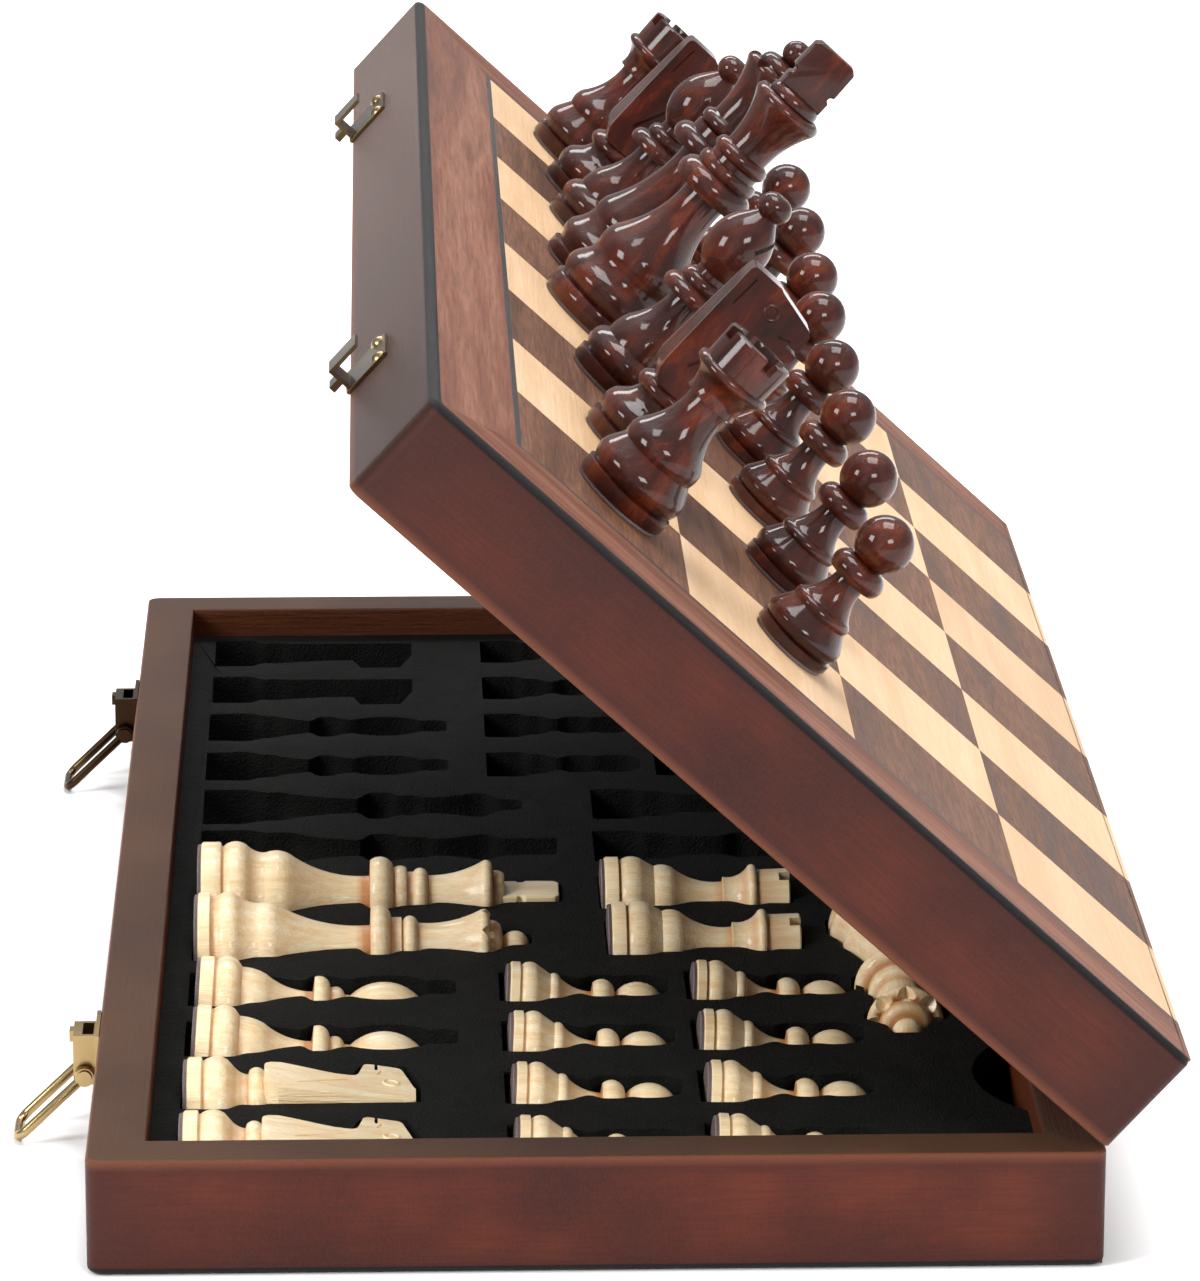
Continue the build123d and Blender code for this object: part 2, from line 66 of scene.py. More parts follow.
# ------------------------------------------------------------------ node helpers
class Nodes:
    """A short way to build one material's node tree."""

    def __init__(self, name):
        self.material = bpy.data.materials.new(name)
        self.material.use_nodes = True
        self.tree = self.material.node_tree
        self.shader = self.tree.nodes["Principled BSDF"]

    def add(self, kind, inputs=None, **settings):
        node = self.tree.nodes.new(kind)
        for key, value in settings.items():
            setattr(node, key, value)
        for key, value in (inputs or {}).items():
            self.put(value, node.inputs[key])
        return node

    def put(self, value, socket):
        """Link an output to the socket, or set the socket to a plain value."""
        if isinstance(value, bpy.types.NodeSocket):
            self.tree.links.new(value, socket)
        else:
            socket.default_value = value

    def coords(self):
        return self.add("ShaderNodeTexCoord").outputs["Object"]

    def attribute(self, name):
        return self.add("ShaderNodeAttribute", attribute_name=name)

    def scaled(self, vector, scale, location=(0, 0, 0)):
        node = self.add("ShaderNodeMapping", {"Vector": vector, "Scale": scale})
        self.put(location, node.inputs["Location"])
        return node.outputs["Vector"]

    def noise(self, vector, scale, detail=4.0, rough=0.55, distortion=0.0):
        node = self.add("ShaderNodeTexNoise", {
            "Vector": vector, "Scale": scale, "Detail": detail, "Roughness": rough,
            "Distortion": distortion})
        return node.outputs["Fac"]

    def math(self, operation, *values, clamp=False):
        node = self.add("ShaderNodeMath", operation=operation, use_clamp=clamp)
        for socket, value in zip(node.inputs, values):
            self.put(value, socket)
        return node.outputs["Value"]

    def vector_math(self, operation, *values):
        node = self.add("ShaderNodeVectorMath", operation=operation)
        for socket, value in zip(node.inputs, values):
            self.put(value, socket)
        return node.outputs["Vector"]

    def ramp(self, factor, stops):
        node = self.add("ShaderNodeValToRGB", {"Fac": factor})
        elements = node.color_ramp.elements
        while len(elements) < len(stops):
            elements.new(0.5)
        for element, (position, colour) in zip(elements, stops):
            element.position = position
            element.color = (*linear(colour), 1)
        return node.outputs["Color"]

    def level(self, factor, low, high, out_low=0.0, out_high=1.0):
        node = self.add("ShaderNodeMapRange", {
            "Value": factor, "From Min": low, "From Max": high, "To Min": out_low,
            "To Max": out_high})
        return node.outputs["Result"]

    def mix(self, factor, a, b, blend="MIX"):
        node = self.add("ShaderNodeMix", data_type="RGBA", blend_type=blend)
        self.put(factor, node.inputs["Factor"])
        self.put(a, node.inputs[6])
        self.put(b, node.inputs[7])
        return node.outputs[2]

    def bump(self, height, distance, strength=1.0):
        node = self.add("ShaderNodeBump", {
            "Height": height, "Distance": distance, "Strength": strength})
        self.put(node.outputs["Normal"], self.shader.inputs["Normal"])

    def finish(self, colour=None, roughness=None, **values):
        names = {"metallic": "Metallic", "coat": "Coat Weight", "coat_rough": "Coat Roughness",
                 "coat_ior": "Coat IOR", "specular": "Specular IOR Level",
                 "sheen": "Sheen Weight"}
        if colour is not None:
            self.put(colour, self.shader.inputs["Base Color"])
        if roughness is not None:
            self.put(roughness, self.shader.inputs["Roughness"])
        for key, value in values.items():
            self.put(value, self.shader.inputs[names[key]])
        return self.material


def linear(colour):
    """sRGB 0 to 255 as linear values."""
    found = []
    for c in colour:
        c = c / 255
        found.append(c / 12.92 if c <= 0.04045 else ((c + 0.055) / 1.055) ** 2.4)
    return found


def rgba(colour):
    return (*linear(colour), 1)


# ------------------------------------------------------------------ materials
def light_wood():
    """Pale turned wood under a satin lacquer, with painted amber shade in the turning's recesses.
    """
    n = Nodes("light_wood")
    place = n.vector_math("ADD", n.coords(), n.attribute("seed").outputs["Vector"])
    long = n.noise(n.scaled(place, (1, 1, 0.12)), 0.55, 5.0, 0.6)
    fine = n.noise(n.scaled(place, (1, 1, 0.05)), 3.2, 3.0, 0.6)
    base = n.ramp(long, [(0.3, (240, 203, 150)), (0.5, (250, 223, 177)), (0.7, (255, 238, 204))])
    grain = n.level(fine, 0.35, 0.7, 0.93, 1.04)
    base = n.mix(1.0, base, grain, "MULTIPLY")
    # painted shade: amber mixed in where the turning is recessed, most where the recess is
    # greatest
    recess_shade = n.level(n.attribute("recess").outputs["Fac"], 0.05, 0.55)
    base = n.mix(n.math("MULTIPLY", recess_shade, 0.85), base, rgba((192, 122, 54)))
    n.bump(fine, 0.03, 0.25)
    return n.finish(base, n.level(long, 0.3, 0.7, 0.3, 0.4), coat=0.35, coat_rough=0.18)


def dark_wood():
    """Deep red-brown stained wood under a high gloss lacquer."""
    n = Nodes("dark_wood")
    place = n.vector_math("ADD", n.coords(), n.attribute("seed").outputs["Vector"])
    cloud = n.noise(n.scaled(place, (1, 1, 0.35)), 0.16, 4.0, 0.6, 0.6)
    pores = n.noise(n.scaled(place, (1, 1, 0.18)), 2.2, 5.0, 0.7)
    base = n.ramp(cloud, [(0.30, (34, 10, 5)), (0.5, (66, 20, 8)), (0.68, (108, 42, 12))])
    base = n.mix(n.level(pores, 0.38, 0.62, 0.5, 0.0), base, rgba((38, 10, 6)))
    # painted shade: near-black mixed in where the turning is recessed
    recess_shade = n.level(n.attribute("recess").outputs["Fac"], 0.05, 0.8)
    base = n.mix(n.math("MULTIPLY", recess_shade, 0.75), base, rgba((30, 8, 6)))
    n.bump(pores, 0.04, 0.3)
    return n.finish(base, 0.36, coat=0.7, coat_rough=0.1, coat_ior=1.4, specular=0.12)


def felt():
    """Reddish-brown felt pad."""
    n = Nodes("felt")
    fluff = n.noise(n.coords(), 4.0, 6.0, 0.8)
    base = n.ramp(fluff, [(0.3, (78, 40, 30)), (0.7, (132, 74, 56))])
    n.bump(fluff, 0.25, 0.8)
    return n.finish(base, 0.95, sheen=0.5)


def rail_grain(n, place, along_long):
    """Grain that runs along each rail: along Y in the long rails and along X in the short."""
    along_y = n.noise(n.scaled(place, (1, 0.05, 1)), 1.6, 6.0, 0.65)
    along_x = n.noise(n.scaled(place, (0.05, 1, 1)), 1.6, 6.0, 0.65)
    grain = n.add("ShaderNodeMix", data_type="FLOAT")
    n.put(along_long, grain.inputs["Factor"])
    n.put(along_x, grain.inputs[2])
    n.put(along_y, grain.inputs[3])
    return grain.outputs[0]


def burnt_edges(n, from_x, from_y, z):
    """1 at the box's corners and long edges, falling off within some millimetres."""
    from_z = n.math("SUBTRACT", HALF_H / 2, n.math("ABSOLUTE", n.math(
        "SUBTRACT", z, HALF_H / 2)))
    return n.math("MAXIMUM", n.level(n.math("MAXIMUM", from_x, from_y), 2.0, 18.0, 0.6, 0.0),
                  n.level(from_z, 0.5, 5.5, 0.6, 0.0))


def darker_lid_with_painted_side_reflection(n, base, x, y):
    """The lid is darker overall, and its latch side carries a painted reflection, greyer towards
    the far end.
    """
    lid = n.attribute("lid").outputs["Fac"]
    # painted reflection of a soft box on the lid's latch side: dark at the near end, greyer
    # towards the far end
    far = n.level(y, -HALF_Y, HALF_Y * 0.6)
    side = n.mix(far, rgba((44, 26, 20)), rgba((104, 88, 82)))
    # the whole lid made darker than the tray
    base = n.mix(n.math("MULTIPLY", lid, 0.28), base, rgba((30, 14, 9)))
    on_side = n.math("MULTIPLY", lid, n.math("LESS_THAN", x, 1.0 - HALF_X))
    return n.mix(n.math("MULTIPLY", on_side, 0.8), base, side)


def box_wood():
    """Mahogany stain: redder on the sides, dull brown on the rim, darker towards the corners,
    lighter along the rim's outer edge; the lid darker, with a painted reflection on its latch
    side.
    """
    n = Nodes("box_wood")
    place = n.coords()
    x, y, z = n.add("ShaderNodeSeparateXYZ", {"Vector": place}).outputs
    from_x = n.math("SUBTRACT", HALF_X, n.math("ABSOLUTE", x))
    from_y = n.math("SUBTRACT", HALF_Y, n.math("ABSOLUTE", y))
    grain = rail_grain(n, place, n.math("LESS_THAN", from_x, from_y))
    speck = n.noise(n.scaled(place, (1, 1, 0.45)), 2.6, 4.0, 0.75)
    cloud = n.noise(place, 0.03, 3.0, 0.5)
    base = n.ramp(cloud, [(0.36, (60, 25, 19)), (0.5, (77, 31, 21)), (0.64, (94, 40, 25))])
    base = n.mix(n.level(grain, 0.4, 0.62, 0.35, 0.0), base, rgba((50, 20, 16)))
    base = n.mix(n.level(speck, 0.44, 0.66, 0.0, 0.25), base, rgba((112, 50, 32)))
    burnt = n.math("MULTIPLY", burnt_edges(n, from_x, from_y, z), n.level(cloud, 0.3, 0.6))
    # the lid darker overall, with a painted reflection on its latch side
    base = darker_lid_with_painted_side_reflection(n, n.mix(burnt, base, rgba((44, 22, 20))), x, y)
    rim = n.attribute("rim").outputs["Fac"]
    base = n.mix(rim, base, n.mix(cloud, rgba((52, 33, 26)), rgba((98, 66, 46))))
    inner = n.attribute("inner").outputs["Fac"]
    base = n.mix(inner, base, n.mix(grain, rgba((58, 24, 12)), rgba((112, 58, 26))))
    # lighter along the rim's rounded outer edge
    lighter_edge = n.math("MULTIPLY", n.attribute("edge").outputs["Fac"], 0.45)
    base = n.mix(lighter_edge, base, rgba((134, 78, 52)))
    base = n.mix(n.attribute("stain").outputs["Fac"], base, rgba((16, 12, 12)))
    n.bump(n.math("ADD", speck, grain), 0.05, 0.35)
    return n.finish(base, n.level(speck, 0.3, 0.7, 0.34, 0.46), specular=0.18)


def veneer(name, stops, streak, streak_amount, across):
    """Board veneer with its own tone and place in the grain for each leaf."""
    n = Nodes(name)
    seed = n.attribute("seed").outputs["Vector"]
    turn = n.attribute("turn").outputs["Fac"]
    place = n.vector_math("ADD", n.coords(), seed)
    a = n.scaled(place, (1, 0.07, 1))
    b = n.scaled(place, (0.07, 1, 1))
    flow = n.add("ShaderNodeMix", data_type="VECTOR")
    n.put(turn, flow.inputs["Factor"])
    n.put(a, flow.inputs[4])
    n.put(b, flow.inputs[5])
    flow = flow.outputs[1]
    wide = n.noise(flow, 0.09 * across, 4.0, 0.55, 0.8)
    fine = n.noise(flow, 1.3 * across, 5.0, 0.7)
    base = n.ramp(wide, stops)
    base = n.mix(n.level(fine, 0.38, 0.62, streak_amount, 0.0), base, rgba(streak))
    tone = n.level(n.attribute("tone").outputs["Fac"], 0.0, 1.0, 0.9, 1.07)
    base = n.mix(1.0, base, tone, "MULTIPLY")
    n.bump(fine, 0.03, 0.25)
    return n.finish(base, n.level(wide, 0.3, 0.7, 0.46, 0.58), specular=0.22)


def foam_material():
    """Dense black closed-cell foam."""
    n = Nodes("foam")
    place = n.coords()
    cells = n.add("ShaderNodeTexVoronoi", {"Vector": place, "Scale": 1.9}).outputs["Distance"]
    cloud = n.noise(place, 0.12, 5.0, 0.65)
    dust = n.noise(place, 1.4, 5.0, 0.8)
    base = n.ramp(cloud, [(0.3, (13, 13, 12)), (0.7, (24, 24, 23))])
    base = n.mix(n.level(dust, 0.6, 0.8, 0.0, 0.25), base, rgba((56, 56, 54)))
    n.bump(n.math("ADD", cells, dust), 0.12, 0.5)
    return n.finish(base, 0.88, specular=0.15)


def metal(name, dark, bright, wear=0.5):
    """Antiqued brass: dark in general, rubbed brighter in patches."""
    n = Nodes(name)
    patch = n.noise(n.coords(), 1.5, 6.0, 0.75)
    base = n.ramp(patch, [(wear - 0.08, dark), (wear + 0.1, bright)])
    n.bump(n.noise(n.coords(), 2.5, 4.0, 0.7), 0.03, 0.3)
    return n.finish(base, n.level(patch, 0.35, 0.65, 0.38, 0.2), metallic=1.0)


def plain(name, colour, roughness, grain=2.0):
    """A quiet surface with a little variation."""
    n = Nodes(name)
    fleck = n.noise(n.coords(), grain, 5.0, 0.7)
    darker = tuple(c * 0.8 for c in colour)
    n.bump(fleck, 0.05, 0.4)
    return n.finish(n.ramp(fleck, [(0.3, darker), (0.7, colour)]), roughness)


MATERIALS = {
    "light_wood": light_wood(),
    "dark_wood": dark_wood(),
    "felt": felt(),
    "box_wood": box_wood(),
    "maple": veneer("maple", [(0.3, (206, 168, 128)), (0.55, (218, 184, 148)),
                              (0.75, (226, 196, 162))], (194, 154, 112), 0.3, 0.8),
    "walnut": veneer("walnut", [(0.3, (82, 52, 38)), (0.48, (112, 75, 54)),
                                (0.62, (130, 90, 68)), (0.78, (94, 61, 45))],
                     (58, 34, 26), 0.6, 1.2),
    "border_walnut": veneer("border_walnut", [(0.3, (92, 56, 44)), (0.5, (126, 80, 62)),
                                              (0.62, (148, 102, 82)), (0.75, (106, 68, 54))],
                            (66, 38, 30), 0.45, 0.7),
    "inlay": plain("inlay", (40, 34, 34), 0.4),
    "foam": foam_material(),
    "lining": plain("lining", (26, 26, 28), 0.95, 4.0),
    "ply": plain("ply", (176, 142, 98), 0.7),
    "steel": metal("steel", (120, 120, 122), (170, 170, 172)),
    "latch_brass": metal("latch_brass", (58, 42, 28), (214, 184, 130), 0.54),
    "screw_brass": metal("screw_brass", (110, 88, 54), (206, 182, 140)),
}


# ------------------------------------------------------------------ mesh helpers
def mesh_object(name, vertices, faces, material, matrix=TRAY, smooth=True):
    """A new mesh, given in millimetres, placed by a matrix that scales it to metres."""
    mesh = bpy.data.meshes.new(name)
    mesh.from_pydata([tuple(v) for v in vertices], [], faces)
    mesh.update()
    if smooth:
        mesh.polygons.foreach_set("use_smooth", [True] * len(mesh.polygons))
    obj = bpy.data.objects.new(name, mesh)
    bpy.context.scene.collection.objects.link(obj)
    mesh.materials.append(MATERIALS[material])
    obj.matrix_world = matrix
    return obj


def tidy(obj, sharp_degrees=35.0):
    """Outward normals and sharp edges above an angle."""
    mesh = obj.data
    bm = bmesh.new()
    bm.from_mesh(mesh)
    bmesh.ops.remove_doubles(bm, verts=bm.verts, dist=1e-4)
    bmesh.ops.recalc_face_normals(bm, faces=bm.faces)
    for edge in bm.edges:
        if len(edge.link_faces) == 2:
            edge.smooth = edge.calc_face_angle() < math.radians(sharp_degrees)
    bm.to_mesh(mesh)
    bm.free()
    return obj


def outward(obj):
    """Outward normals, with nothing merged."""
    bm = bmesh.new()
    bm.from_mesh(obj.data)
    bmesh.ops.recalc_face_normals(bm, faces=bm.faces)
    bm.to_mesh(obj.data)
    bm.free()


def add_float(mesh, name, values):
    layer = mesh.attributes.new(name, "FLOAT", "POINT")
    layer.data.foreach_set("value", np.asarray(values, dtype=np.float32))


def add_vector(mesh, name, values):
    layer = mesh.attributes.new(name, "FLOAT_VECTOR", "POINT")
    layer.data.foreach_set("vector", np.asarray(values, dtype=np.float32).ravel())


def modify(obj, kind, **settings):
    """Add a modifier and apply it."""
    modifier = obj.modifiers.new(kind.lower(), kind)
    for key, value in settings.items():
        setattr(modifier, key, value)
    bpy.context.view_layer.update()
    graph = bpy.context.evaluated_depsgraph_get()
    mesh = bpy.data.meshes.new_from_object(obj.evaluated_get(graph))
    obj.modifiers.clear()
    obj.data = mesh
    return obj


def box_mesh(x, y, z):
    """Vertices and faces of a box between limits."""
    vertices = [(x[i], y[j], z[k]) for k in (0, 1) for j in (0, 1) for i in (0, 1)]
    faces = [(0, 2, 3, 1), (4, 5, 7, 6), (0, 1, 5, 4), (2, 6, 7, 3), (0, 4, 6, 2), (1, 3, 7, 5)]
    return vertices, faces


# ------------------------------------------------------------------ turned profiles
# Each entry is a corner's (station, radius), or four numbers for an arc that runs from the last
# point through the first pair to the second pair. Stations are heights above the felt's underside.
PROFILES = {
    "king": [(0.8, 12.0), (1.2, 12.3), (4.6, 12.3), (4.9, 12.1), (5.15, 11.3), (5.4, 11.4),
             (8.0, 12.4, 10.5, 11.4), (12.2, 10.3, 14.2, 10.0), (16.8, 10.4, 19.2, 9.7),
             (26.5, 6.0, 36.0, 4.9), (36.2, 8.2), (38.6, 8.9, 41.0, 7.3), (41.2, 6.6),
             (42.6, 7.0, 43.8, 6.6), (44.0, 5.7), (45.3, 5.7), (46.8, 6.5, 48.2, 5.6),
             (48.5, 4.9), (55.5, 5.9, 60.0, 7.9), (61.2, 7.9, 61.6, 5.6),
             (63.2, 5.8, 64.4, 5.1), (64.41, 0.0)],
    "queen": [(0.8, 11.4), (1.2, 11.7), (3.2, 11.7), (3.5, 10.7), (4.9, 11.0),
              (7.0, 11.7, 8.9, 11.0), (11.5, 9.6, 13.2, 9.3), (15.2, 9.5, 17.1, 8.9),
              (25.5, 5.5, 36.1, 4.6), (36.3, 8.0), (38.4, 8.7, 40.4, 6.9), (40.6, 6.2),
              (42.6, 6.2), (42.9, 5.4), (44.4, 6.5, 45.9, 5.4), (46.2, 5.0),
              (54.5, 5.8, 58.8, 7.5), (60.0, 7.7, 60.6, 5.4), (62.2, 5.2, 63.4, 3.6),
              (63.7, 2.0), (66.4, 3.2, 69.0, 0.0)],
    "bishop": [(0.8, 9.5), (1.2, 9.8), (3.5, 9.8), (3.8, 9.0), (4.3, 9.3), (6.4, 10.0, 8.4, 9.2),
               (9.3, 8.0), (11.8, 7.7, 14.2, 6.8), (18.5, 4.5, 23.7, 3.8), (24.0, 6.8),
               (25.4, 7.0, 27.2, 5.2), (27.4, 4.8), (28.9, 5.0, 30.2, 3.6), (31.4, 3.5),
               (38.0, 6.6, 45.0, 4.2), (47.2, 2.4), (50.0, 3.6, 52.0, 0.0)],
    "rook": [(0.8, 9.7), (1.2, 10.0), (3.7, 10.0), (4.0, 9.1), (4.3, 9.4), (6.6, 10.1, 9.0, 9.3),
             (11.3, 8.0), (13.0, 8.3, 15.0, 7.8), (20.0, 5.1, 25.7, 4.6), (25.9, 5.6),
             (29.5, 6.2, 31.2, 7.9), (32.0, 8.2, 32.8, 7.8), (33.0, 7.1), (39.6, 7.3),
             (39.9, 7.0), (40.0, 5.4), (39.6, 5.2), (36.8, 5.0), (36.7, 0.0)],
    "pawn": [(0.8, 8.1), (1.1, 8.4), (2.7, 8.4), (3.0, 7.7), (3.3, 8.0), (4.9, 8.5, 6.6, 7.8),
             (9.0, 6.3), (10.0, 6.5, 11.0, 5.6), (14.0, 3.8, 17.4, 3.2), (17.7, 5.1),
             (20.0, 5.8, 22.2, 3.2), (27.3, 5.7, 32.8, 0.0)],
    "knight": [(0.8, 9.5), (1.2, 9.8), (3.5, 9.8), (3.8, 9.0), (4.3, 9.3), (6.4, 9.9, 8.6, 9.2),
               (10.0, 7.6), (11.4, 6.6, 12.5, 6.3), (12.8, 7.1), (14.2, 7.7, 15.6, 7.0),
               (16.6, 5.6), (16.8, 0.0)],
}
SEGMENTS = 72


def arc_points(start, middle, end, count):
    """Points on the circle through three (station, radius) points, after the start."""
    (ax, ay), (bx, by), (cx, cy) = start, middle, end
    d = 2 * (ax * (by - cy) + bx * (cy - ay) + cx * (ay - by))
    if abs(d) < 1e-6:
        return [end]
    a2, b2, c2 = ax * ax + ay * ay, bx * bx + by * by, cx * cx + cy * cy
    ux = (a2 * (by - cy) + b2 * (cy - ay) + c2 * (ay - by)) / d
    uy = (a2 * (cx - bx) + b2 * (ax - cx) + c2 * (bx - ax)) / d
    angles = [math.atan2(y - uy, x - ux) for x, y in (start, middle, end)]
    turn = (angles[2] - angles[0]) % math.tau
    if (angles[1] - angles[0]) % math.tau > turn:
        turn -= math.tau
    radius = math.hypot(ax - ux, ay - uy)
    found = []
    for i in range(1, count + 1):
        angle = angles[0] + turn * i / count
        found.append((ux + radius * math.cos(angle), uy + radius * math.sin(angle)))
    return found


def profile_points(entries):
    """A profile as closely spaced (station, radius) points."""
    points = [entries[0]]
    for entry in entries[1:]:
        if len(entry) == 4:
            points += arc_points(points[-1], entry[:2], entry[2:], 12)
        else:
            points.append(entry)
    return [(s, max(r, 0.0)) for s, r in points]


def recess_of(points):
    """How far each profile point lies below its neighbourhood's upper envelope, 0 to 1."""
    stations = np.array([s for s, _ in points])
    radii = np.array([r for _, r in points])
    found = []
    for s, r in points:
        near = np.exp(-((stations - s) / 1.6) ** 2)
        crest = (near * np.maximum(radii - r, 0)).max()
        found.append(min(crest / 2.2, 1.0))
    return found


def turned(name, kind, material):
    """A turned body about local Z, with the recess kept as an attribute that places the materials'
    painted recess shade.
    """
    points = profile_points(PROFILES[kind])
    depth = recess_of(points)
    vertices, faces, recess = [(0, 0, points[0][0])], [], [0.0]
    for (s, r), d in zip(points, depth):
        for k in range(SEGMENTS):
            a = math.tau * k / SEGMENTS
            vertices.append((r * math.cos(a), r * math.sin(a), s))
            recess.append(d)
    for k in range(SEGMENTS):
        faces.append((0, 1 + (k + 1) % SEGMENTS, 1 + k))
    for i in range(len(points) - 1):
        low, high = 1 + i * SEGMENTS, 1 + (i + 1) * SEGMENTS
        for k in range(SEGMENTS):
            j = (k + 1) % SEGMENTS
            faces.append((low + k, low + j, high + j, high + k))
    obj = mesh_object(name, vertices, faces, material)
    add_float(obj.data, "recess", recess)
    return tidy(obj, 42.0)


def cut(obj, cutter):
    """Take one solid out of another, and drop the cutter."""
    modify(obj, "BOOLEAN", operation="DIFFERENCE", object=cutter, solver="MANIFOLD")
    bpy.data.objects.remove(cutter)
    return obj


def merge(obj, other):
    """Join one solid to another, and drop the other."""
    modify(obj, "BOOLEAN", operation="UNION", object=other, solver="MANIFOLD")
    bpy.data.objects.remove(other)
    return obj


def prism(name, outline, low, high, material, matrix):
    """A prism of an (x, y) outline between two heights."""
    count = len(outline)
    vertices = [(x, y, low) for x, y in outline] + [(x, y, high) for x, y in outline]
    faces = [tuple(range(count))[::-1], tuple(range(count, 2 * count))]
    faces += [(i, (i + 1) % count, count + (i + 1) % count, count + i) for i in range(count)]
    return tidy(mesh_object(name, vertices, faces, material, matrix, smooth=False))


UPRIGHT = Matrix.Rotation(math.radians(90), 4, "X")


def king_body(material):
    obj = turned("king", "king", material)
    outline = [(-5.3, 64.0), (-5.3, 67.2), (-4.6, 67.4), (-4.6, 68.4), (-5.5, 68.8), (-5.3, 75.0),
               (-4.2, 76.0), (4.2, 76.0), (5.3, 75.0), (5.5, 68.8), (4.6, 68.4), (4.6, 67.4),
               (5.3, 67.2), (5.3, 64.0)]
    slab = prism("slab", outline, -2.0, 2.0, material, TRAY @ UPRIGHT)
    modify(slab, "BEVEL", width=0.35, segments=3, limit_method="ANGLE")
    return merge(obj, slab)


def queen_body(material):
    obj = turned("queen", "queen", material)
    for i in range(8):
        spin = Matrix.Rotation(math.radians(45 * i), 4, "Z")
        lean = Matrix.Translation((7.6, 0, 61.6)) @ Matrix.Rotation(math.radians(45), 4, "X")
        x, y, z = (-2.2, 3.0), (-1.7, 1.7), (-1.7, 1.7)
        cutter = mesh_object("notch", *box_mesh(x, y, z), material, TRAY @ spin @ lean, False)
        cut(obj, cutter)
    return obj


def bishop_body(material):
    obj = turned("bishop", "bishop", material)
    lean = Matrix.Translation((4.4, 0, 43.6)) @ Matrix.Rotation(math.radians(-52), 4, "Y")
    x, y, z = (-3.6, 4.4), (-10, 10), (-0.45, 0.45)
    return cut(obj, mesh_object("slit", *box_mesh(x, y, z), material, TRAY @ lean, False))


def rook_body(material):
    obj = turned("rook", "rook", material)
    for i in range(4):
        spin = Matrix.Rotation(math.radians(90 * i + 20), 4, "Z")
        x, y, z = (3.5, 9.0), (-1.3, 1.3), (37.6, 41.0)
        cut(obj, mesh_object("gap", *box_mesh(x, y, z), material, TRAY @ spin, False))
    return obj


# Side outline of the knight's head, forward of the axis and up.
KNIGHT_SIDE = [(-5.2, 15.6), (-6.2, 16.6), (-6.9, 18.4), (-7.1, 20.4), (-6.8, 32.0),
               (-6.4, 44.2), (-5.8, 45.0), (0.8, 45.0), (1.6, 44.6), (10.6, 42.3), (11.3, 41.6),
               (11.7, 35.8), (11.1, 34.9), (5.2, 33.8), (4.2, 32.8), (4.2, 29.5), (5.0, 26.0),
               (6.3, 21.5), (6.9, 18.8), (6.5, 16.8), (5.6, 15.6)]
CHEEK_LEAN, CHEEK_MID = 7.7, (5.1, 30.5)   # slope of each cheek, and its offset and height


def on_cheek(x, z, side, turn=0.0):
    """A place on a cheek of the knight's head, square to the cheek, turned within it."""
    y = CHEEK_MID[0] - (z - CHEEK_MID[1]) * math.tan(math.radians(CHEEK_LEAN))
    return (Matrix.Translation((x, side * y, z))
            @ Matrix.Rotation(math.radians(side * CHEEK_LEAN), 4, "X")
            @ Matrix.Rotation(math.radians(turn), 4, "Y"))


def box_cutter(x, y, z, material, matrix):
    return mesh_object("cutter", *box_mesh(x, y, z), material, TRAY @ matrix, False)


def knight_head(material):
    """Slab head that thins to the top, with mane lines, a chest line and a mouth; the eyes are
    added by knight_body.
    """
    head = prism("head", KNIGHT_SIDE, -7.2, 7.2, material, TRAY @ UPRIGHT)
    modify(head, "BEVEL", width=0.5, segments=2, limit_method="ANGLE", angle_limit=0.5)
    for side in (-1, 1):
        y = (0, 9) if side > 0 else (-9, 0)
        cut(head, box_cutter((-30, 30), y, (-30, 30), material, on_cheek(0, 30.5, side)))
        for x, z, half, turn, wide in ((-0.4, 27.5, 6.2, 26.0, 0.7), (-4.4, 40.0, 3.2, 4.0, 0.4),
                                       (7.6, 38.0, 1.4, 70.0, 0.5)):
            groove = (-wide / 2, wide / 2), (-0.45, 0.45), (-half, half)
            cut(head, box_cutter(*groove, material, on_cheek(x, z, side, turn)))
    for i in range(5):
        lean = Matrix.Translation((-7.2, (i - 2) * 1.5, 31)) @ Matrix.Rotation(
            math.radians((i - 2) * 1.6), 4, "X")
        cut(head, box_cutter((-1, 0.75), (-0.25, 0.25), (-12.5, 15), material, lean))
    return cut(head, box_cutter((8.8, 13), (-9, 9), (37.0, 37.6), material, Matrix()))


def eye_ring(side, material):
    """A small raised ring for the eye, on one cheek."""
    ring_r, tube, count, fine = 1.45, 0.3, 28, 10
    vertices, faces = [], []
    for i in range(count):
        a = math.tau * i / count
        for j in range(fine):
            b = math.tau * j / fine
            r = ring_r + tube * math.cos(b)
            vertices.append((r * math.cos(a), tube * math.sin(b), r * math.sin(a)))
            faces.append((i * fine + j, i * fine + (j + 1) % fine,
                          (i + 1) % count * fine + (j + 1) % fine, (i + 1) % count * fine + j))
    return tidy(mesh_object("eye", vertices, faces, material, TRAY @ on_cheek(2.4, 40.2, side)))


def knight_body(material):
    obj = turned("knight", "knight", material)
    head = knight_head(material)
    for side in (-1, 1):
        head = merge(head, eye_ring(side, material))
    return merge(obj, head)


BODY_MAKERS = {"king": king_body, "queen": queen_body, "bishop": bishop_body,
               "rook": rook_body, "knight": knight_body,
               "pawn": lambda material: turned("pawn", "pawn", material)}
FELT_R = {"king": 11.8, "queen": 11.2, "bishop": 9.3, "knight": 9.3, "rook": 9.5, "pawn": 7.9}


def seal_normals(obj, degrees=38.0):
    """Smooth shading with sharp edges kept after booleans."""
    tidy(obj, degrees)
    obj.data.polygons.foreach_set("use_smooth", [True] * len(obj.data.polygons))
    return obj


